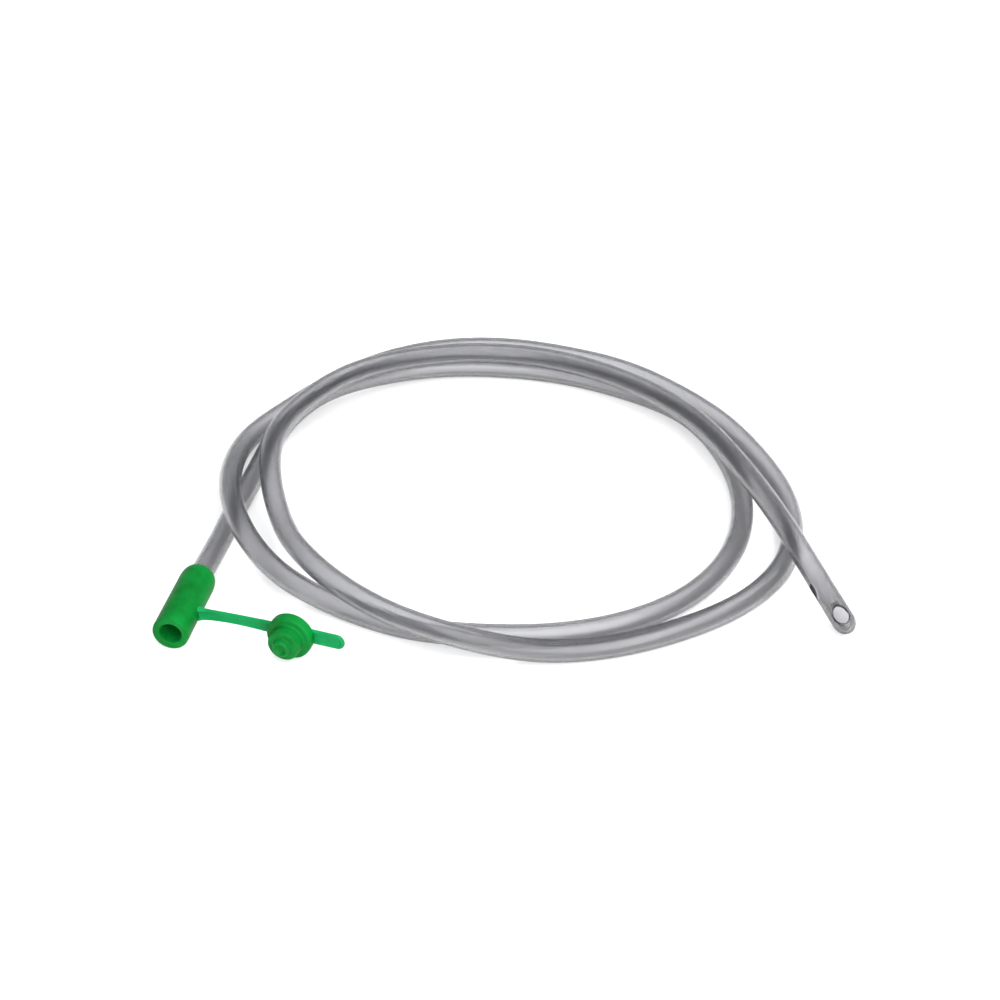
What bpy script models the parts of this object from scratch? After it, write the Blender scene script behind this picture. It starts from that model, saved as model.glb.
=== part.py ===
"""Gastric tube, size Ch/Fr 14: a long clear PVC tube with a closed tip and two side eyes, and a green
connector with a stopper on a flexible strap. +Z is up and the tube lies coiled on the floor, z = 0."""

import bmesh
import bpy
import numpy as np
from mathutils import Matrix, Vector

MM = 0.001

# Driving dimensions, in millimetres.
TUBE_OD = 4.7
TUBE_WALL = 0.7
TUBE_SIDES = 12
RING_STEP = 12.0
TIP_LENGTH = 3.0

# The green connector. The funnel lies on the floor, turned a little from the Y axis. The plug's flange is wider
# and stands on the floor too, so the strap climbs to it.
FUNNEL_Z = 3.75
MOUTH_CENTRE = (-57.55, -65.5)
FUNNEL_TURN = 5.06
FUNNEL_LENGTH = 19.8
FUNNEL_RADIUS = 3.7
SHOULDER_RADIUS = 3.05
SOCKET_RADIUS = 2.65
SOCKET_DEPTH = 8.0
MOUTH_RADIUS = 2.3
BORE_RADIUS = 1.9
RIM_ROUND = 0.2
FIT_GAP = 0.3

STRAP_THICK = 0.95
STRAP_HEIGHT = 2.7
STRAP_WAIST = 2.45
ROOT_DEPTH = 7.5
ROOT_LENGTH = 1.9
ROOT_HEIGHT = 3.0
ROOT_THICK = 1.2

PLUG_CENTRE = (-34.2, -61.8)
PLUG_TURN = -4.0
FLANGE_RADIUS = 4.7
FLANGE_THICK = 2.4
COLLAR_RADIUS = 3.3
COLLAR_LENGTH = 2.6
NOSE_RADIUS = 1.95
NOSE_LENGTH = 1.3
TAB_REACH = 11.0
TAB_HEIGHT = 3.3

# The route of the tube's centre, from just behind the connector to the tip: x, y, and how far the tube is lifted
# off the floor where it crosses over another lap. It was traced from the photograph by hand.
ROUTE_MM = [
    (-59.8, -40.6, 1.1), (-60.9, -30.9, 0.2), (-62.4, -15.9, 0.0), (-63.2, -1.5, 0.4), (-63.2, 12.9, 1.7),
    (-58.8, 26.9, 2.6), (-49.6, 39.4, 1.6), (-37.4, 49.0, 0.4), (-22.9, 53.6, 0.0), (-7.9, 54.4, 0.0),
    (7.1, 51.6, 0.0), (21.1, 45.6, 0.0), (31.6, 34.6, 0.0), (38.8, 21.4, 0.0), (42.8, 6.7, 0.0),
    (42.6, -8.4, 0.0), (37.5, -23.2, 0.0), (27.5, -35.1, 0.0), (14.4, -43.1, 0.0), (0.1, -47.4, 0.0),
    (-14.4, -48.9, 0.0), (-29.4, -46.1, 0.2), (-43.9, -41.4, 2.4), (-55.4, -31.9, 4.9), (-63.0, -19.4, 5.0),
    (-67.7, -5.3, 2.9), (-69.0, 9.0, 0.7), (-65.4, 22.7, 0.0), (-59.5, 36.5, 0.0), (-51.2, 48.9, 0.0),
    (-38.9, 58.5, 0.0), (-25.1, 62.9, 0.0), (-10.2, 63.1, 0.0), (4.7, 60.3, 0.0), (18.3, 53.5, 0.0),
    (30.3, 44.6, 0.0), (40.5, 33.1, 0.0), (48.6, 20.6, 0.0), (53.6, 6.6, 0.0), (53.9, -8.5, 0.0),
    (48.3, -22.7, 0.0), (38.6, -34.3, 0.0), (27.0, -43.3, 0.0), (12.9, -49.8, 0.7), (-1.3, -53.5, 3.7),
    (-16.3, -51.8, 5.1), (-29.9, -45.4, 5.4), (-41.3, -35.4, 4.2), (-50.6, -22.6, 2.3), (-57.4, -10.3, 3.8),
    (-61.1, 4.0, 5.7), (-58.6, 17.2, 6.9), (-52.5, 30.3, 7.2), (-41.9, 41.7, 6.4), (-28.7, 49.5, 5.5),
    (-13.9, 52.2, 5.1), (1.1, 49.9, 5.0), (15.1, 43.9, 4.9), (27.1, 34.9, 4.9), (36.6, 23.6, 5.1),
    (45.6, 11.1, 5.1), (53.6, -1.7, 5.1), (61.9, -14.3, 3.3), (69.0, -23.8, 0.7),
]

# The two side eyes: distance back from the end of the tip, the direction the eye faces, its length and width.
EYES = [
    (11.7, (-0.79, -0.50, -0.30), 3.8, 1.9),
    (3.4, (-0.24, -0.37, 0.90), 4.4, 2.8),
]

for leftover in list(bpy.data.objects):
    bpy.data.objects.remove(leftover)

object_parts = bpy.data.collections.new("gastric_tube")
cutters = bpy.data.collections.new("cutters")
cutters.hide_render = True
bpy.context.scene.collection.children.link(object_parts)
bpy.context.scene.collection.children.link(cutters)


def material(name, colour, roughness, transmission=0.0, ior=1.5):
    """A Principled material."""
    made = bpy.data.materials.new(name)
    made.use_nodes = True
    shader = made.node_tree.nodes["Principled BSDF"]
    shader.inputs["Base Color"].default_value = (*colour, 1.0)
    shader.inputs["Roughness"].default_value = roughness
    shader.inputs["Transmission Weight"].default_value = transmission
    shader.inputs["IOR"].default_value = ior
    return made


def add(name, mesh, collection=object_parts, look=None, place=(0.0, 0.0, 0.0)):
    """An object of this mesh in the collection, with its material."""
    made = bpy.data.objects.new(name, mesh)
    collection.objects.link(made)
    made.location = place
    if look is not None:
        mesh.materials.clear()
        mesh.materials.append(look)
    if collection is cutters:
        made.hide_render = True
        made.display_type = "WIRE"
    return made


def natural_spline(points, count):
    """Points at equal steps along a natural cubic spline through the given ones, by chord length."""
    points = np.asarray(points, float)
    knots = np.r_[0.0, np.cumsum(np.linalg.norm(np.diff(points, axis=0), axis=1))]
    gaps = np.diff(knots)
    slopes = np.diff(points, axis=0) / gaps[:, None]
    system = np.eye(len(points))
    right = np.zeros_like(points)
    inner = np.arange(1, len(points) - 1)
    system[inner, inner] = 2 * (gaps[:-1] + gaps[1:])
    system[inner, inner - 1] = gaps[:-1]
    system[inner, inner + 1] = gaps[1:]
    right[1:-1] = 6 * np.diff(slopes, axis=0)
    bends = np.linalg.solve(system, right)

    def at(where):
        span = np.clip(np.searchsorted(knots, where, side="right") - 1, 0, len(gaps) - 1)
        width = gaps[span, None]
        left = (knots[span + 1] - where)[:, None]
        past = (where - knots[span])[:, None]
        return (
            (bends[span] * left**3 + bends[span + 1] * past**3) / (6 * width)
            + (points[span] / width - bends[span] * width / 6) * left
            + (points[span + 1] / width - bends[span + 1] * width / 6) * past
        )

    fine = np.linspace(0.0, knots[-1], 8000)
    steps = np.linalg.norm(np.diff(at(fine), axis=0), axis=1)
    arc = np.r_[0.0, np.cumsum(steps)]
    return at(np.interp(np.linspace(0.0, arc[-1], count), arc, fine))


def turned(name, profile, steps, place, look, turn=0.0, bored=False):
    """A shape turned round a level axis that points to -Y, from (radius, depth) pairs down its outer side.
    A bored shape's profile goes on up the bore and closes on itself."""
    mesh = bpy.data.meshes.new(name)
    points = [(radius * MM, 0.0, -depth * MM) for radius, depth in profile]
    edges = [(i, i + 1) for i in range(len(points) - 1)]
    if bored:
        edges.append((len(points) - 1, 0))
    mesh.from_pydata(points, edges, [])
    made = add(name, mesh, object_parts, look, [value * MM for value in place])
    made.rotation_euler = (np.pi / 2, 0.0, turn)
    screw = made.modifiers.new("turn", "SCREW")
    screw.steps = steps
    screw.render_steps = steps
    screw.use_merge_vertices = True
    screw.merge_threshold = 0.00001
    screw.use_normal_calculate = False
    return made


def band(name, stations, thick, start, way, collection=object_parts, look=None):
    """An upright ribbon from (distance, half height) stations along the way from start, its edges rounded."""
    outline = [(x, half) for x, half in stations] + [(x, -half) for x, half in reversed(stations) if half]
    shape = bmesh.new()
    near = [shape.verts.new((x * MM, -thick / 2 * MM, z * MM)) for x, z in outline]
    grown = bmesh.ops.extrude_face_region(shape, geom=[shape.faces.new(near)])
    moved = [item for item in grown["geom"] if isinstance(item, bmesh.types.BMVert)]
    bmesh.ops.translate(shape, vec=(0.0, thick * MM, 0.0), verts=moved)
    bmesh.ops.recalc_face_normals(shape, faces=shape.faces)
    way = Vector(way).normalized()
    side = Vector((0.0, 0.0, 1.0)).cross(way).normalized()
    place = Matrix((way, side, way.cross(side))).transposed().to_4x4()
    place.translation = Vector(start) * MM
    mesh = bpy.data.meshes.new(name)
    shape.to_mesh(mesh)
    shape.free()
    mesh.transform(place)
    made = add(name, mesh, collection, look)
    bevel = made.modifiers.new("rounded edges", "BEVEL")
    bevel.width = 0.2 * MM
    bevel.segments = 2
    bevel.limit_method = "ANGLE"
    bevel.angle_limit = np.radians(40)
    return made


def boolean(target, cutter, operation):
    """An EXACT Boolean on the target."""
    made = target.modifiers.new(cutter.name, "BOOLEAN")
    made.operation = operation
    made.solver = "EXACT"
    made.object = cutter
    return made


clear_pvc = material("clear_pvc", (0.80, 0.80, 0.84), 0.12, 0.92, 1.52)
green_pvc = material("green_pvc", (0.01, 0.30, 0.06), 0.38)
green_strap = material("green_strap", (0.012, 0.36, 0.075), 0.40)
green_plug = material("green_plug", (0.01, 0.31, 0.06), 0.36)

# tube: a hollow extrusion, bonded into the funnel's socket at one end, with a closed rounded tip at the other.
turn = np.radians(FUNNEL_TURN)
mouth_way = np.array([np.sin(turn), -np.cos(turn)])
rear = np.array(MOUTH_CENTRE) - mouth_way * FUNNEL_LENGTH
socket_end = rear + mouth_way * (SOCKET_DEPTH - FIT_GAP)
route = [(*socket_end, FUNNEL_Z), (*rear, FUNNEL_Z)]
route += [(x, y, TUBE_OD / 2 + lift) for x, y, lift in ROUTE_MM]
run = sum(np.linalg.norm(np.diff(route, axis=0), axis=1))
centres = natural_spline(route, int(round(run / RING_STEP)) + 1)
centres[:, 2] = np.maximum(centres[:, 2], TUBE_OD / 2)
tip_way = (centres[-1] - centres[-2]) / np.linalg.norm(centres[-1] - centres[-2])
dome = np.array([0.4, 0.72, 0.92, 1.0])
centres = np.vstack([centres, centres[-1] + tip_way * TIP_LENGTH * dome[:, None]])
radii = np.r_[np.ones(len(centres) - len(dome)), np.sqrt(1 - dome**2)]

curve = bpy.data.curves.new("tube_route", "CURVE")
curve.dimensions = "3D"
curve.bevel_depth = TUBE_OD / 2 * MM
curve.bevel_resolution = TUBE_SIDES // 2 - 2
curve.use_fill_caps = False
spline = curve.splines.new("POLY")
spline.points.add(len(centres) - 1)
for point, place, radius in zip(spline.points, centres * MM, radii):
    point.co = (*place, 1.0)
    point.radius = radius
guide = add("tube_guide", curve, cutters)
bpy.context.view_layer.update()
tube_mesh = bpy.data.meshes.new_from_object(guide)
tube = add("tube", tube_mesh, look=clear_pvc)
tube.matrix_world = guide.matrix_world.copy()
bpy.data.objects.remove(guide)
shape = bmesh.new()
shape.from_mesh(tube_mesh)
bmesh.ops.remove_doubles(shape, verts=shape.verts, dist=0.000005)
bmesh.ops.recalc_face_normals(shape, faces=shape.faces)
shape.to_mesh(tube_mesh)
shape.free()
wall = tube.modifiers.new("wall", "SOLIDIFY")
wall.thickness = TUBE_WALL * MM
wall.offset = -1.0

# The eyes are punched through one wall each, from the lumen outwards.
for number, (back, facing, length, width) in enumerate(EYES, 1):
    facing = np.array(facing) - np.dot(facing, tip_way) * tip_way
    facing /= np.linalg.norm(facing)
    middle = centres[-1] - tip_way * back
    frame = np.eye(4)
    frame[:3, 0] = tip_way * length / width
    frame[:3, 1] = np.cross(facing, tip_way)
    frame[:3, 2] = facing
    frame[:3, 3] = (middle + facing * TUBE_OD / 2) * MM
    punch = bmesh.new()
    bmesh.ops.create_cone(
        punch, cap_ends=True, segments=16, radius1=width / 2 * MM, radius2=width / 2 * MM, depth=TUBE_OD * MM,
    )
    punch_mesh = bpy.data.meshes.new(f"eye_punch_{number}")
    punch.to_mesh(punch_mesh)
    punch.free()
    punch_mesh.transform(Matrix(frame))
    boolean(tube, add(f"eye_punch_{number}", punch_mesh, cutters), "DIFFERENCE")

# funnel: socket at the rear for the tube, tapered mouth at the front, and a short root for the strap.
funnel = turned("funnel", [
    (MOUTH_RADIUS, 0.0),
    (FUNNEL_RADIUS - RIM_ROUND, 0.0),
    (FUNNEL_RADIUS - 0.3 * RIM_ROUND, 0.3 * RIM_ROUND),
    (FUNNEL_RADIUS, RIM_ROUND),
    (FUNNEL_RADIUS, FUNNEL_LENGTH - 2.6),
    (FUNNEL_RADIUS - 0.08, FUNNEL_LENGTH - 1.7),
    (FUNNEL_RADIUS - 0.24, FUNNEL_LENGTH - 0.9),
    (FUNNEL_RADIUS - 0.45, FUNNEL_LENGTH - 0.3),
    (SHOULDER_RADIUS, FUNNEL_LENGTH),
    (SOCKET_RADIUS, FUNNEL_LENGTH),
    (SOCKET_RADIUS, FUNNEL_LENGTH - SOCKET_DEPTH),
    (TUBE_OD / 2 - TUBE_WALL, FUNNEL_LENGTH - SOCKET_DEPTH),
    (TUBE_OD / 2 - TUBE_WALL, FUNNEL_LENGTH - SOCKET_DEPTH - 1.6),
    (BORE_RADIUS, 3.0),
], 40, (*MOUTH_CENTRE, FUNNEL_Z), green_pvc, turn, bored=True)

# plug: a thick round flange that stands on the floor, with a collar and a nose that stops the mouth.
plug_turn = np.radians(PLUG_TURN)
plug_way = np.array([np.sin(plug_turn), -np.cos(plug_turn), 0.0])
tab_way = np.array([np.cos(plug_turn), np.sin(plug_turn), 0.0])
plug_front = np.array([*PLUG_CENTRE, FLANGE_RADIUS])
nose_start = -COLLAR_LENGTH
plug = turned("plug", [
    (0.0, nose_start - NOSE_LENGTH),
    (NOSE_RADIUS - 0.75, nose_start - NOSE_LENGTH),
    (NOSE_RADIUS - 0.3, nose_start - NOSE_LENGTH + 0.2),
    (NOSE_RADIUS - 0.1, nose_start - NOSE_LENGTH + 0.6),
    (NOSE_RADIUS, nose_start),
    (COLLAR_RADIUS - 0.35, nose_start),
    (COLLAR_RADIUS - 0.12, nose_start + 0.1),
    (COLLAR_RADIUS - 0.03, nose_start + 0.4),
    (COLLAR_RADIUS, 0.0),
    (FLANGE_RADIUS - 0.4, 0.0),
    (FLANGE_RADIUS - 0.12, 0.12),
    (FLANGE_RADIUS, 0.4),
    (FLANGE_RADIUS, FLANGE_THICK - 0.4),
    (FLANGE_RADIUS - 0.12, FLANGE_THICK - 0.12),
    (FLANGE_RADIUS - 0.4, FLANGE_THICK),
    (0.0, FLANGE_THICK),
], 40, plug_front, green_plug, plug_turn)

# The strap runs straight from the funnel's side to the ribbon on the flange's back, which ends in the pull tab.
# Short roots belong to the funnel and to the plug.
funnel_back = np.array([-np.sin(turn), np.cos(turn), 0.0])
funnel_axis = np.array([*MOUTH_CENTRE, FUNNEL_Z]) + funnel_back * ROOT_DEPTH
funnel_side = np.array([np.cos(turn), np.sin(turn), 0.0])
ribbon_middle = plug_front - plug_way * (FLANGE_THICK + 0.05)
funnel_root_end = funnel_axis + funnel_side * (FUNNEL_RADIUS + ROOT_LENGTH)
plug_root_end = ribbon_middle - tab_way * (FLANGE_RADIUS + ROOT_LENGTH)

funnel_root_start = FUNNEL_RADIUS - 0.8
funnel_root = band("funnel_root", [
    (0.0, ROOT_HEIGHT / 2),
    (ROOT_LENGTH + 0.3, ROOT_HEIGHT / 2),
    (ROOT_LENGTH + 0.8, STRAP_HEIGHT / 2),
], ROOT_THICK, funnel_axis + funnel_side * funnel_root_start, funnel_side, cutters)
boolean(funnel, funnel_root, "UNION")

half = TAB_HEIGHT / 2
rounded = np.radians([90, 68, 45, 22, 0])
reach = FLANGE_RADIUS + ROOT_LENGTH
tab_centre = reach + TAB_REACH - half
ribbon = band("plug_ribbon", [
    (0.0, STRAP_HEIGHT / 2),
    (reach, STRAP_HEIGHT / 2),
    (reach + FLANGE_RADIUS / 2, half),
] + [(tab_centre + half * np.cos(angle), half * np.sin(angle)) for angle in rounded],
    STRAP_THICK, plug_root_end, tab_way, cutters)
boolean(plug, ribbon, "UNION")

span = plug_root_end - funnel_root_end
strap_length = np.linalg.norm(span) - 2 * FIT_GAP
across = np.linspace(0.0, 1.0, 9)
waist = STRAP_HEIGHT - (STRAP_HEIGHT - STRAP_WAIST) * np.sin(np.pi * across)
strap_way = span / np.linalg.norm(span)
strap = band("strap", [
    (strap_length * t, high / 2) for t, high in zip(across, waist)
], STRAP_THICK, funnel_root_end + strap_way * FIT_GAP, strap_way, look=green_strap)

# The plug swings in front of the strap until its collar meets the mouth's rim, with the nose inside.
# One turn takes the rest pose to the closed one: its axis is square to the collar's way and leans as much
# to the plug's direction as to the funnel's.
collar_rest = plug_front + plug_way * COLLAR_LENGTH
collar_closed = np.array([*MOUTH_CENTRE, FUNNEL_Z]) - funnel_back * FIT_GAP
travel = collar_closed - collar_rest
axis = np.cross(travel, plug_way - funnel_back)
axis *= -np.sign(axis[2]) / np.linalg.norm(axis)
flat_from = plug_way - axis * np.dot(plug_way, axis)
flat_to = funnel_back - axis * np.dot(funnel_back, axis)
swing = np.arctan2(np.dot(np.cross(flat_from, flat_to), axis), np.dot(flat_from, flat_to)) % (2 * np.pi)
hinge = (collar_rest + collar_closed) / 2 + np.cross(axis, travel) / (2 * np.tan(swing / 2))
pivot = bpy.data.objects.new("plug_swing_axis", None)
object_parts.objects.link(pivot)
pivot.location = hinge * MM
bpy.context.view_layer.update()
plug.parent = pivot
plug.matrix_parent_inverse = pivot.matrix_world.inverted()
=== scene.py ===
"""Gastric tube: looks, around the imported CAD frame. Everything is in metres, in the CAD's own frame."""

import bmesh
import bpy
import numpy as np
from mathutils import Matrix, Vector


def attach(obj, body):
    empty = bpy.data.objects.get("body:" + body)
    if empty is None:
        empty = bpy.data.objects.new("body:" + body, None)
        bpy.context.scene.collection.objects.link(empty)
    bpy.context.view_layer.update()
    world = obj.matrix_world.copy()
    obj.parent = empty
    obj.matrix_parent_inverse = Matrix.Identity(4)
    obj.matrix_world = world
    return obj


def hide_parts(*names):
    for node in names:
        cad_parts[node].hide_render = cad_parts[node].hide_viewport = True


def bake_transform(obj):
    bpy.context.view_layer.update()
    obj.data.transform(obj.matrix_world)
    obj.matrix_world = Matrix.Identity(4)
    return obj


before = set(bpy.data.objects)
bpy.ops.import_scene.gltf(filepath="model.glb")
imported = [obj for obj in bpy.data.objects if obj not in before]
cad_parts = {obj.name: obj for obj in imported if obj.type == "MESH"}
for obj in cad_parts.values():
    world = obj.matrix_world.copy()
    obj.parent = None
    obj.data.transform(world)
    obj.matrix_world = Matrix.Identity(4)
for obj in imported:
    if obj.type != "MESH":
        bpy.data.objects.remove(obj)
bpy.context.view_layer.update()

# Camera: the photograph's angle, 34 degrees above the table and turned 16 degrees to the CAD's frame.
# It aims at the point of the table that lies in the middle of the picture.
AIM = np.array([-0.0097, 0.0030, 0.0])
ELEVATION = np.radians(34.0)
TURNED = np.radians(16.0)
DISTANCE = 0.480
look_way = np.array([
    -np.sin(TURNED) * np.cos(ELEVATION),
    np.cos(TURNED) * np.cos(ELEVATION),
    -np.sin(ELEVATION),
])
camera_data = bpy.data.cameras.new("camera")
camera_data.lens = 79.5
camera_data.sensor_width = 36.0
camera_data.clip_start = 0.01
camera = bpy.data.objects.new("camera", camera_data)
bpy.context.scene.collection.objects.link(camera)
camera.location = AIM - look_way * DISTANCE
camera.rotation_euler = Vector(look_way).to_track_quat("-Z", "Y").to_euler()
bpy.context.scene.camera = camera
bpy.context.scene.view_settings.view_transform = "Standard"


# Tube: one extrusion of clear soft PVC, 4.7 mm outside with a 0.7 mm wall. It is bonded into the connector's
# socket, and its far end is closed and rounded with two eyes punched near it. It lies coiled as it came out
# of its pack: each lap rests on the table or on the laps that it crosses.
MM = 0.001
TUBE_R = 2.35 * MM
TUBE_WALL = 0.7 * MM
TUBE_SIDES = 40
RING_STEP = 2.2 * MM
TIP_LENGTH = 3.0 * MM
TIP_RINGS = 11

# The eyes: how far each lies back from the tip's end, the way it faces, its length along the tube and its
# width.
EYES = [
    (11.7 * MM, (-0.79, -0.50, -0.30), 3.8 * MM, 1.9 * MM),
    (3.4 * MM, (-0.24, -0.37, 0.90), 4.4 * MM, 2.8 * MM),
]
EYE_SIDES = 48

# The connector's place: the middle of its mouth, and the ways along its axis and across it.
UP = np.array([0.0, 0.0, 1.0])
MOUTH = np.array([-57.55, -65.5, 3.75]) * MM
FUNNEL_LENGTH = 19.8 * MM
SOCKET_DEPTH = 7.7 * MM
FUNNEL_TURN = np.radians(5.06)
funnel_back = np.array([-np.sin(FUNNEL_TURN), np.cos(FUNNEL_TURN), 0.0])
funnel_side = np.array([np.cos(FUNNEL_TURN), np.sin(FUNNEL_TURN), 0.0])

# The tube's middle from behind the connector to the tip: x, y and how far it is lifted off the table.
ROUTE_MM = [
    (-59.8, -40.6, 1.1), (-60.9, -30.9, 0.2), (-62.4, -15.9, 0.0), (-63.2, -1.5, 0.4), (-63.2, 12.9, 1.7),
    (-58.8, 26.9, 2.6), (-49.6, 39.4, 1.6), (-37.4, 49.0, 0.4), (-22.9, 53.6, 0.0), (-7.9, 54.4, 0.0),
    (7.1, 51.6, 0.0), (21.1, 45.6, 0.0), (31.6, 34.6, 0.0), (38.8, 21.4, 0.0), (42.8, 6.7, 0.0),
    (42.6, -8.4, 0.0), (37.5, -23.2, 0.0), (27.5, -35.1, 0.0), (14.4, -43.1, 0.0), (0.1, -47.4, 0.0),
    (-14.4, -48.9, 0.0), (-29.4, -46.1, 0.2), (-43.9, -41.4, 2.4), (-55.4, -31.9, 4.9), (-63.0, -19.4, 5.0),
    (-67.7, -5.3, 2.9), (-69.0, 9.0, 0.7), (-65.4, 22.7, 0.0), (-59.5, 36.5, 0.0), (-51.2, 48.9, 0.0),
    (-38.9, 58.5, 0.0), (-25.1, 62.9, 0.0), (-10.2, 63.1, 0.0), (4.7, 60.3, 0.0), (18.3, 53.5, 0.0),
    (30.3, 44.6, 0.0), (40.5, 33.1, 0.0), (48.6, 20.6, 0.0), (53.6, 6.6, 0.0), (53.9, -8.5, 0.0),
    (48.3, -22.7, 0.0), (38.6, -34.3, 0.0), (27.0, -43.3, 0.0), (12.9, -49.8, 0.7), (-1.3, -53.5, 3.7),
    (-16.3, -51.8, 5.1), (-29.9, -45.4, 5.4), (-41.3, -35.4, 4.2), (-50.6, -22.6, 2.3), (-57.4, -10.3, 3.8),
    (-61.1, 4.0, 5.7), (-58.6, 17.2, 6.9), (-52.5, 30.3, 7.2), (-41.9, 41.7, 6.4), (-28.7, 49.5, 5.5),
    (-13.9, 52.2, 5.1), (1.1, 49.9, 5.0), (15.1, 43.9, 4.9), (27.1, 34.9, 4.9), (36.6, 23.6, 5.1),
    (45.6, 11.1, 5.1), (53.6, -1.7, 5.1), (61.9, -14.3, 3.3), (69.0, -23.8, 0.7),
]

# How clear PVC looks: what a metre of wall takes out of the light, and the tint along the tube. At the tip
# the tint is darker, painted shade for the longer way light takes through the wall there. The painted shade
# fades out between these two distances from the tip's end.
PVC_IOR = 1.46
SMOKE = (0.50, 0.497, 0.503, 1.0)
SMOKE_DENSITY = 950.0
TIP_PAINTED_SHADE = (0.62, 0.62, 0.632)
TUBE_TINT = (0.93, 0.93, 0.945)
TIP_SHADE_FADE = (0.002, 0.020)


def smooth_line(points, step):
    """Points at equal steps along a natural cubic spline through the given ones. Between two knots, h apart,
    the spline is (m0 a^3 + m1 b^3) / 6h + (p0/h - m0 h/6) a + (p1/h - m1 h/6) b. Here a and b are the ways
    to the two knots, and m0 and m1 the bends there, which one linear system gives."""
    knots = np.r_[0.0, np.cumsum(np.linalg.norm(np.diff(points, axis=0), axis=1))]
    gaps = np.diff(knots)
    slopes = np.diff(points, axis=0) / gaps[:, None]
    system = np.eye(len(points))
    right = np.zeros_like(points)
    inner = np.arange(1, len(points) - 1)
    system[inner, inner] = 2 * (gaps[:-1] + gaps[1:])
    system[inner, inner - 1] = gaps[:-1]
    system[inner, inner + 1] = gaps[1:]
    right[1:-1] = 6 * np.diff(slopes, axis=0)
    bends = np.linalg.solve(system, right)

    def at(where):
        span = np.clip(np.searchsorted(knots, where, side="right") - 1, 0, len(gaps) - 1)
        width = gaps[span, None]
        a = (knots[span + 1] - where)[:, None]
        b = (where - knots[span])[:, None]
        return (
            (bends[span] * a**3 + bends[span + 1] * b**3) / (6 * width)
            + (points[span] / width - bends[span] * width / 6) * a
            + (points[span + 1] / width - bends[span + 1] * width / 6) * b
        )

    fine = np.linspace(0.0, knots[-1], 12000)
    arc = np.r_[0.0, np.cumsum(np.linalg.norm(np.diff(at(fine), axis=0), axis=1))]
    count = int(round(arc[-1] / step)) + 1
    return at(np.interp(np.linspace(0.0, arc[-1], count), arc, fine))


def unit(rows):
    """Each row divided by its length."""
    return rows / np.linalg.norm(rows, axis=-1, keepdims=True)


def turns(sides):
    """Angles of so many equal steps round, without the last, which is the first again."""
    return np.linspace(0.0, 2 * np.pi, sides + 1)[:-1]


def grid_mesh(name, grid, uv=None, start_cap=False, end_cap=False):
    """A mesh from a grid of points, rows by columns, whose columns join round. A row whose points all
    coincide becomes a pole when the doubles are merged. A cap closes the first or the last row. Two poles in
    a row leave one loose edge between them, which is removed."""
    rows, columns = grid.shape[:2]
    index = np.arange(rows * columns).reshape(rows, columns)
    index = np.hstack([index, index[:, :1]])
    quads = np.stack([index[:-1, :-1], index[:-1, 1:], index[1:, 1:], index[1:, :-1]], axis=-1)
    faces = quads.reshape(-1, 4).tolist()
    if start_cap:
        faces.append(index[0, :columns][::-1].tolist())
    if end_cap:
        faces.append(index[-1, :columns].tolist())
    mesh = bpy.data.meshes.new(name)
    mesh.from_pydata(grid.reshape(-1, 3).tolist(), [], faces)
    if uv is not None:
        layer = mesh.uv_layers.new(name="run")
        coords = np.stack([uv[:-1, :-1], uv[:-1, 1:], uv[1:, 1:], uv[1:, :-1]], axis=2)
        layer.data.foreach_set("uv", coords.ravel())
    shape = bmesh.new()
    shape.from_mesh(mesh)
    bmesh.ops.remove_doubles(shape, verts=shape.verts, dist=1e-6)
    loose = [edge for edge in shape.edges if not edge.link_faces]
    bmesh.ops.delete(shape, geom=loose, context="EDGES")
    bmesh.ops.recalc_face_normals(shape, faces=shape.faces)
    shape.to_mesh(mesh)
    shape.free()
    mesh.shade_smooth()
    return mesh


def show(name, mesh, material):
    """An object at the origin that shows this mesh with this material."""
    made = bpy.data.objects.new(name, mesh)
    bpy.context.scene.collection.objects.link(made)
    mesh.materials.append(material)
    return made


class Shader:
    """A Principled material under construction: node() adds a node, link() joins two sockets."""

    def __init__(self, name):
        self.material = bpy.data.materials.new(name)
        self.material.use_nodes = True
        self.tree = self.material.node_tree
        self.main = self.tree.nodes["Principled BSDF"]
        self.output = self.tree.nodes["Material Output"]

    def node(self, kind, **values):
        """A node of this kind. A value named in_X goes on its input X, with spaces for underscores."""
        made = self.tree.nodes.new(kind)
        for key, value in values.items():
            if key.startswith("in_"):
                made.inputs[key[3:].replace("_", " ")].default_value = value
            else:
                setattr(made, key, value)
        return made

    def link(self, out, into):
        self.tree.links.new(out, into)

    def math(self, operation, first, second=0.0):
        """The output of a math node whose inputs are numbers or other nodes' outputs."""
        made = self.tree.nodes.new("ShaderNodeMath")
        made.operation = operation
        for socket, value in zip(made.inputs, (first, second)):
            if isinstance(value, (int, float)):
                socket.default_value = value
            else:
                self.link(value, socket)
        return made.outputs[0]

    def ramp(self, factor, low, high):
        """A colour that runs between two stops, each its place and its colour."""
        made = self.tree.nodes.new("ShaderNodeValToRGB")
        for element, (where, colour) in zip(made.color_ramp.elements, (low, high)):
            element.position = where
            element.color = (*colour, 1.0)
        self.link(factor, made.inputs[0])
        return made.outputs[0]

    def uneven_gloss(self, noise, spread, least):
        """Roughness of least + spread times the noise."""
        gloss = self.math("ADD", self.math("MULTIPLY", noise.outputs["Fac"], spread), least)
        self.link(gloss, self.main.inputs["Roughness"])

    def relief(self, noise, strength, height):
        """Bumps of this height that follow the noise."""
        bump = self.node("ShaderNodeBump", in_Strength=strength, in_Distance=height)
        self.link(noise.outputs["Fac"], bump.inputs["Height"])
        self.link(bump.outputs[0], self.main.inputs["Normal"])


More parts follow.
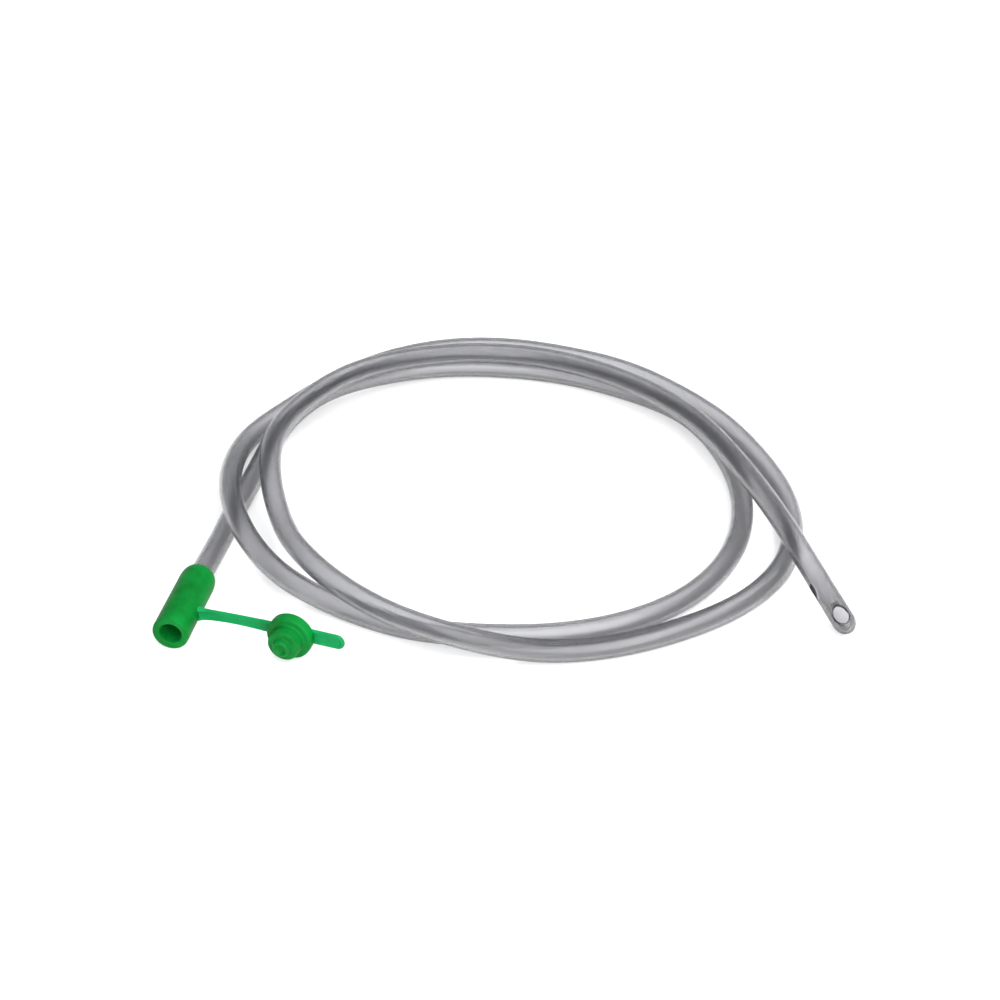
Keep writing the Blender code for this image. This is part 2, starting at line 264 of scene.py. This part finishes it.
def clear_pvc(tip):
    """Clear soft PVC: glossy, smoky through its thickness, with faint lines along the extrusion, which follow
    the tube's own coordinates. Its colour is darker round the tip, painted shade for the longer way light
    takes through the wall there."""
    made = Shader("clear_pvc")
    made.main.inputs["Transmission Weight"].default_value = 1.0
    made.main.inputs["IOR"].default_value = PVC_IOR
    run = made.node("ShaderNodeUVMap", uv_map="run")
    parts = made.node("ShaderNodeSeparateXYZ")
    made.link(run.outputs[0], parts.inputs[0])
    angle = made.math("MULTIPLY", parts.outputs[0], 2 * np.pi)
    round_way = made.node("ShaderNodeCombineXYZ")
    made.link(made.math("MULTIPLY", made.math("COSINE", angle), 3.0), round_way.inputs[0])
    made.link(made.math("MULTIPLY", made.math("SINE", angle), 3.0), round_way.inputs[1])
    made.link(made.math("MULTIPLY", parts.outputs[1], 0.25), round_way.inputs[2])
    lines = made.node("ShaderNodeTexNoise", in_Scale=1.6, in_Detail=4.0, in_Roughness=0.6)
    made.link(round_way.outputs[0], lines.inputs["Vector"])
    made.relief(lines, 0.25, 0.2 * MM)
    place = made.node("ShaderNodeTexCoord")
    haze = made.node("ShaderNodeTexNoise", in_Scale=90.0, in_Detail=3.0)
    made.link(place.outputs["Object"], haze.inputs["Vector"])
    made.uneven_gloss(haze, 0.20, 0.12)
    # Painted shade: the base colour darkens towards the tip's end, for the longer way light takes through the
    # wall there.
    from_tip = made.node("ShaderNodeVectorMath", operation="DISTANCE")
    made.link(place.outputs["Object"], from_tip.inputs[0])
    from_tip.inputs[1].default_value = tip
    fade = made.node("ShaderNodeMapRange", in_From_Min=TIP_SHADE_FADE[0], in_From_Max=TIP_SHADE_FADE[1])
    made.link(from_tip.outputs["Value"], fade.inputs["Value"])
    tint_with_tip_shade = made.ramp(fade.outputs[0], (0.0, TIP_PAINTED_SHADE), (1.0, TUBE_TINT))
    made.link(tint_with_tip_shade, made.main.inputs["Base Color"])
    absorb = made.node("ShaderNodeVolumeAbsorption", in_Color=SMOKE, in_Density=SMOKE_DENSITY)
    made.link(absorb.outputs[0], made.output.inputs["Volume"])
    return made.material


rear = MOUTH + funnel_back * FUNNEL_LENGTH
route = np.array([(x, y, lift) for x, y, lift in ROUTE_MM]) * MM + UP * TUBE_R
route = np.vstack([rear - funnel_back * SOCKET_DEPTH, rear, route])
line = smooth_line(route, RING_STEP)
line[:, 2] = np.maximum(line[:, 2], TUBE_R)
tip_way = unit(line[-1] - line[-2])


def tube_side(radius, reach):
    """Rings along the tube's line, and then a quarter ellipse: at t from 0 to 1 the ring is reach t past the
    line's end, and its radius is radius times sqrt(1 - t^2), so that it ends in a pole. Also gives each
    point's share of the way round and its run in millimetres, and the rings' middles."""
    t = np.sin(np.linspace(0.0, np.pi / 2, TIP_RINGS + 1))[1:]
    middles = np.vstack([line, line[-1] + tip_way * reach * t[:, None]])
    radii = radius * np.r_[np.ones(len(line)), np.sqrt(1 - t**2)]
    radii[-1] = 0.0
    way = unit(np.gradient(middles, axis=0))
    way[len(line) - 1:] = tip_way
    side = unit(np.cross(way, UP))
    up = np.cross(side, way)
    share = np.linspace(0.0, 1.0, TUBE_SIDES + 1)
    angle = 2 * np.pi * share - np.pi / 2
    ring = side[:, None] * np.cos(angle)[:, None] + up[:, None] * np.sin(angle)[:, None]
    along = np.r_[0.0, np.cumsum(np.linalg.norm(np.diff(middles, axis=0), axis=1))]
    uv = np.stack(np.broadcast_arrays(share, along[:, None] / MM), axis=-1)
    return middles[:, None] + ring * radii[:, None, None], uv, middles


outer, outer_uv, middles = tube_side(TUBE_R, TIP_LENGTH)
inner, inner_uv, _ = tube_side(TUBE_R - TUBE_WALL, TIP_LENGTH - TUBE_WALL)
skin = np.vstack([inner[:1], outer, inner[::-1]])
skin_uv = np.vstack([inner_uv[:1], outer_uv, inner_uv[::-1]])
tube = show("tube_skin", grid_mesh("tube_skin", skin[:, :-1], skin_uv), clear_pvc(middles[-1]))

# Each eye is punched through one wall, with an oval bar that runs from the lumen outwards.
for back, facing, length, width in EYES:
    facing = np.array(facing)
    facing = unit(facing - np.dot(facing, tip_way) * tip_way)
    across = np.cross(facing, tip_way)
    turn = turns(EYE_SIDES)[:, None]
    oval = tip_way * np.cos(turn) * length / 2 + across * np.sin(turn) * width / 2
    depths = np.array([0.0, 1.0, 2.0]) * TUBE_R
    bar = middles[-1] - tip_way * back + oval + facing * depths[:, None, None]
    punch = bpy.data.objects.new("punch", grid_mesh("punch", bar, start_cap=True, end_cap=True))
    bpy.context.scene.collection.objects.link(punch)
    cut = tube.modifiers.new("eye", "BOOLEAN")
    cut.operation = "DIFFERENCE"
    cut.solver = "EXACT"
    cut.object = punch
    bpy.context.view_layer.update()
    whole = bpy.context.evaluated_depsgraph_get()
    cut_mesh = bpy.data.meshes.new_from_object(tube.evaluated_get(whole))
    tube.modifiers.clear()
    tube.data = cut_mesh
    bpy.data.objects.remove(punch)
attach(tube, "body")
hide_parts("tube")


# Funnel: the green moulded connector, soft PVC. A socket at the rear holds the tube, and a tapered mouth
# takes a syringe or a bag's spigot. Its front is a flat ring with softened edges, and its rear is rounded.
FUNNEL_R = 3.7 * MM
FUNNEL_PROFILE = np.array([
    (2.14, 0.75), (2.22, 0.32), (2.29, 0.12), (2.38, 0.03), (2.52, 0.0), (3.36, 0.0), (3.5, 0.03),
    (3.62, 0.11), (3.68, 0.23), (3.7, 0.4), (3.7, 16.9), (3.69, 17.3), (3.65, 17.8), (3.58, 18.3),
    (3.48, 18.75), (3.35, 19.15), (3.2, 19.45), (3.02, 19.67), (2.84, 19.78), (2.66, 19.8), (2.5, 19.75),
    (2.42, 19.62), (2.42, 19.3), (2.6, 18.9), (2.6, 12.1), (2.4, 11.8), (1.65, 11.8), (1.65, 10.3),
    (1.68, 9.9), (1.86, 3.4), (1.9, 3.0), (2.0, 1.9),
])
FUNNEL_GREENS = ((0.0, 0.068, 0.0055), (0.0, 0.158, 0.021))


def soft_green(name, greens, roughness):
    """Green soft PVC as moulded: satin, mottled a little between two greens, with a fine skin."""
    dark, light = greens
    made = Shader(name)
    place = made.node("ShaderNodeTexCoord")
    mottle = made.node("ShaderNodeTexNoise", in_Scale=150.0, in_Detail=5.0, in_Roughness=0.6)
    made.link(place.outputs["Object"], mottle.inputs["Vector"])
    made.link(made.ramp(mottle.outputs["Fac"], (0.3, dark), (0.7, light)), made.main.inputs["Base Color"])
    made.main.inputs["Subsurface Weight"].default_value = 0.1
    made.main.inputs["Subsurface Radius"].default_value = (0.2 * MM, 1.0 * MM, 0.3 * MM)
    made.main.inputs["Subsurface Scale"].default_value = 1.0
    made.main.inputs["IOR"].default_value = 1.45
    made.main.inputs["Specular IOR Level"].default_value = 0.12
    made.uneven_gloss(mottle, 0.14, roughness - 0.07)
    skin_noise = made.node("ShaderNodeTexNoise", in_Scale=1500.0, in_Detail=3.0)
    made.link(place.outputs["Object"], skin_noise.inputs["Vector"])
    made.relief(skin_noise, 0.2, 0.08 * MM)
    return made.material


def turned_grid(profile, centre, back, sides=96):
    """Rings round the level axis back: a profile point (r, d) in millimetres goes to
    centre + d back + r (cos a side + sin a up)."""
    side = np.cross(back, UP)
    angle = turns(sides)[:, None]
    ring = side * np.cos(angle) + UP * np.sin(angle)
    profile = profile * MM
    return centre + back * profile[:, 1, None, None] + ring * profile[:, 0, None, None]


funnel_green = soft_green("green_pvc", FUNNEL_GREENS, 0.50)
funnel_grid = turned_grid(np.vstack([FUNNEL_PROFILE, FUNNEL_PROFILE[:1]]), MOUTH, funnel_back)
funnel = show("funnel_body", grid_mesh("funnel_body", funnel_grid), funnel_green)
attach(funnel, "body")
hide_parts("funnel")


# Strap: a flat ribbon with a bead along both edges, moulded with the funnel and the plug. It stands on edge
# and narrows a little in the middle.
ROOT_DEPTH = 7.5 * MM
ROOT_LENGTH = 1.9 * MM
ROOT_START = 2.6 * MM
PLUG_FRONT = np.array([-34.2, -61.8, 4.7]) * MM
PLUG_TURN = np.radians(-4.0)
FLANGE_R = 4.7 * MM
FLANGE_THICK = 2.4 * MM
BEHIND_FLANGE = 0.05 * MM
TAB_REACH = 11.0 * MM
TAB_HALF = 1.65 * MM
STRAP_HALF = 1.35 * MM
STRAP_WAIST = 0.12 * MM
RIBBON_THICK = 0.475 * MM
ROOT_THICK = 0.45 * MM
LAP = 0.3 * MM
STRAP_GREENS = ((0.001, 0.155, 0.038), (0.003, 0.240, 0.066))

# The ribbon's section in millimetres: how far its edge is rounded, where its bead runs and how wide it is,
# and how thick the web and the bead are as shares of the whole.
EDGE_ROUND, BEAD_AT, BEAD_WIDE = 0.3, 0.4, 0.22
WEB, BEAD = 0.66, 0.4
RIBBON_SIDES = 48

plug_back = np.array([-np.sin(PLUG_TURN), np.cos(PLUG_TURN), 0.0])
tab_way = np.array([np.cos(PLUG_TURN), np.sin(PLUG_TURN), 0.0])
funnel_axis = MOUTH + funnel_back * ROOT_DEPTH
funnel_root = funnel_axis + funnel_side * (FUNNEL_R + ROOT_LENGTH)
ribbon_middle = PLUG_FRONT + plug_back * (FLANGE_THICK + BEHIND_FLANGE)
plug_root = ribbon_middle - tab_way * (FLANGE_R + ROOT_LENGTH)
tab_end = ribbon_middle + tab_way * TAB_REACH
ribbon_line = smooth_line(
    np.array([funnel_axis + funnel_side * ROOT_START, funnel_root, plug_root, ribbon_middle, tab_end]),
    0.05 * MM,
)
ribbon_run = np.r_[0.0, np.cumsum(np.linalg.norm(np.diff(ribbon_line, axis=0), axis=1))]
ribbon_way = unit(np.gradient(ribbon_line, axis=0))


def run_at(point):
    """How far along the ribbon's line the point lies."""
    return ribbon_run[np.argmin(np.linalg.norm(ribbon_line - point, axis=1))]


def ribbon_grid(where, half, thick, end=np.inf):
    """Rings of an upright ribbon at the given runs along its line. At angle a a ring's point is half sin a
    up, and on the side of cos a it lies thick e(d) (WEB + BEAD exp(-((d - BEAD_AT) / BEAD_WIDE)^2)) out. Here
    d is its distance from the edge in millimetres, and e(d) = sqrt(1 - (1 - d / EDGE_ROUND)^2) up to
    EDGE_ROUND. Past end the ribbon closes in a half circle, and d is measured from that."""
    half, thick = np.broadcast_arrays(half, thick, where)[:2]
    past = np.maximum(where - end, 0.0)[:, None]
    angle = turns(RIBBON_SIDES)
    high = np.sqrt(np.maximum(half[:, None] ** 2 - past**2, 0.0)) * np.sin(angle)
    inset = np.maximum(half[:, None] - np.hypot(past, high), 0.0) / MM
    edge = np.sqrt(1 - (1 - np.minimum(inset / EDGE_ROUND, 1.0)) ** 2)
    bead = WEB + BEAD * np.exp(-((inset - BEAD_AT) / BEAD_WIDE) ** 2)
    out = np.sign(np.cos(angle).round(9)) * thick[:, None] * edge * bead
    middle = np.stack([np.interp(where, ribbon_run, part) for part in ribbon_line.T], axis=1)
    way = unit(np.stack([np.interp(where, ribbon_run, part) for part in ribbon_way.T], axis=1))
    across = unit(np.cross(UP, way))[:, None]
    above = np.cross(way[:, None], across)
    return middle[:, None] + across * out[..., None] + above * high[..., None]


strap_green = soft_green("green_strap", STRAP_GREENS, 0.50)
run_wall = run_at(funnel_axis + funnel_side * FUNNEL_R)
run_root = run_at(funnel_root)
run_plug = run_at(plug_root)

# The root swells a little where it grows out of the funnel's wall.
where = np.linspace(0.0, run_root + LAP, 40)
flare = np.exp(-np.maximum(where - run_wall, 0.0) / (0.8 * MM))
root_grid = ribbon_grid(where, STRAP_HALF + (0.2 * flare - 0.03) * MM, ROOT_THICK + 0.4 * MM * flare)
root = show("funnel_root", grid_mesh("funnel_root", root_grid, start_cap=True, end_cap=True), strap_green)
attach(root, "body")

where = np.linspace(run_wall + 2 * LAP, run_plug + LAP, 90)
share = (where - where[0]) / (where[-1] - where[0])
strap_grid = ribbon_grid(where, STRAP_HALF - 0.02 * MM - STRAP_WAIST * np.sin(np.pi * share), 0.465 * MM)
strap = show("strap_band", grid_mesh("strap_band", strap_grid, start_cap=True, end_cap=True), strap_green)
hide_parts("strap")
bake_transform(strap)


# Plug: the green stopper, a thick round flange with a collar that meets the mouth's rim and a nose that goes
# in. Its back carries the ribbon on into a pull tab with a round end and a bead along its edge.
PLUG_PROFILE = np.array([
    (0.0, -3.3), (0.7, -3.32), (0.95, -3.45), (1.08, -3.68), (1.18, -3.83), (1.32, -3.9), (1.5, -3.86),
    (1.67, -3.72), (1.78, -3.5), (1.85, -3.2), (1.92, -2.8), (2.0, -2.64), (2.15, -2.6), (2.85, -2.6),
    (3.04, -2.57), (3.18, -2.47), (3.26, -2.3), (3.28, -2.1), (3.3, -0.5), (3.34, -0.2), (3.46, -0.05),
    (3.6, 0.0), (4.15, 0.0), (4.38, 0.03), (4.56, 0.13), (4.67, 0.3), (4.7, 0.52), (4.7, 1.88), (4.67, 2.1),
    (4.56, 2.27), (4.38, 2.37), (4.15, 2.4), (0.0, 2.4),
])
PLUG_GREENS = ((0.0, 0.090, 0.0085), (0.001, 0.180, 0.027))

plug_green = soft_green("green_plug", PLUG_GREENS, 0.48)
plug = show("plug_body", grid_mesh("plug_body", turned_grid(PLUG_PROFILE, PLUG_FRONT, plug_back)), plug_green)
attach(plug, "plug")
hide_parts("plug")

# The ribbon widens behind the flange, from the strap's height to the tab's.
run_round = run_at(tab_end) - TAB_HALF
round_end = run_round + TAB_HALF * np.sin(np.linspace(0.0, np.pi / 2, 20)[1:])
where = np.r_[np.linspace(run_plug, run_round, 70), round_end]
widen = np.clip((where - run_at(ribbon_middle)) / (0.75 * FLANGE_R), 0.0, 1.0)
half = STRAP_HALF + (TAB_HALF - STRAP_HALF) * widen**2 * (3 - 2 * widen)
tab_grid = ribbon_grid(where, half, RIBBON_THICK, end=run_round)
tab = show("plug_tab", grid_mesh("plug_tab", tab_grid, start_cap=True), strap_green)
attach(tab, "plug")


# Table: a plain white surface, and soft light from above and behind, as on a light table.
TABLE_R = 3.0
TABLE_DROP = 0.02 * MM


def white_where_seen(made, lit, glow):
    """Joins the lit shader, or the glow where a camera, glossy or transmitted ray meets it, to the output."""
    rays = made.node("ShaderNodeLightPath")
    seen = made.math("MAXIMUM", rays.outputs["Is Camera Ray"], rays.outputs["Is Glossy Ray"])
    seen = made.math("MAXIMUM", seen, rays.outputs["Is Transmission Ray"])
    choose = made.node("ShaderNodeMixShader")
    made.link(seen, choose.inputs[0])
    made.link(lit, choose.inputs[1])
    made.link(glow, choose.inputs[2])
    made.link(choose.outputs[0], made.output.inputs["Surface"])


table_look = Shader("table_white")
table_look.main.inputs["Base Color"].default_value = (0.80, 0.80, 0.80, 1.0)
table_look.main.inputs["Roughness"].default_value = 0.9
table_look.main.inputs["Specular IOR Level"].default_value = 0.1
paper = table_look.node("ShaderNodeBsdfDiffuse", in_Color=(0.55, 0.55, 0.55, 1.0))
glow = table_look.node("ShaderNodeEmission", in_Strength=0.5)
both = table_look.node("ShaderNodeAddShader")
table_look.link(paper.outputs[0], both.inputs[0])
table_look.link(glow.outputs[0], both.inputs[1])
white_where_seen(table_look, table_look.main.outputs[0], both.outputs[0])
angle = turns(64)
rim = np.stack([TABLE_R * np.cos(angle), TABLE_R * np.sin(angle), np.full(64, -TABLE_DROP)], axis=1)
table_grid = np.stack([rim, rim * [0.5, 0.5, 1.0]])
table = show("table", grid_mesh("table", table_grid, end_cap=True), table_look.material)

world = bpy.data.worlds.new("studio")
bpy.context.scene.world = world
world.use_nodes = True
nodes, links = world.node_tree.nodes, world.node_tree.links
rays = nodes.new("ShaderNodeLightPath")
seen = nodes.new("ShaderNodeBackground")
seen.inputs["Strength"].default_value = 1.0
soft = nodes["Background"]
soft.inputs["Color"].default_value = (0.92, 0.95, 1.0, 1.0)
soft.inputs["Strength"].default_value = 0.55
choose = nodes.new("ShaderNodeMixShader")
links.new(rays.outputs["Is Camera Ray"], choose.inputs[0])
links.new(soft.outputs[0], choose.inputs[1])
links.new(seen.outputs[0], choose.inputs[2])
links.new(choose.outputs[0], nodes["World Output"].inputs["Surface"])

# Each lamp: its place, its size, its power in watts, and whether gloss mirrors it. The key is left out of
# gloss, where it would lay broad white bands on the tube, and the small glint stands in for it there.
LAMPS = [
    ("key", (0.30, 0.45, 0.52), 0.30, 6.1, False),
    ("glint", (0.30, 0.45, 0.52), 0.12, 0.4, True),
    ("fill", (0.25, -0.45, 0.50), 0.90, 12.0, True),
]
for name, place, size, power, mirrored in LAMPS:
    lamp_data = bpy.data.lights.new(name, "AREA")
    lamp_data.size = size
    lamp_data.energy = power
    lamp = bpy.data.objects.new(name, lamp_data)
    bpy.context.scene.collection.objects.link(lamp)
    lamp.location = place
    lamp.visible_glossy = mirrored
    lamp.visible_transmission = False
    lamp.rotation_euler = Vector(-np.array(place)).to_track_quat("-Z", "Y").to_euler()
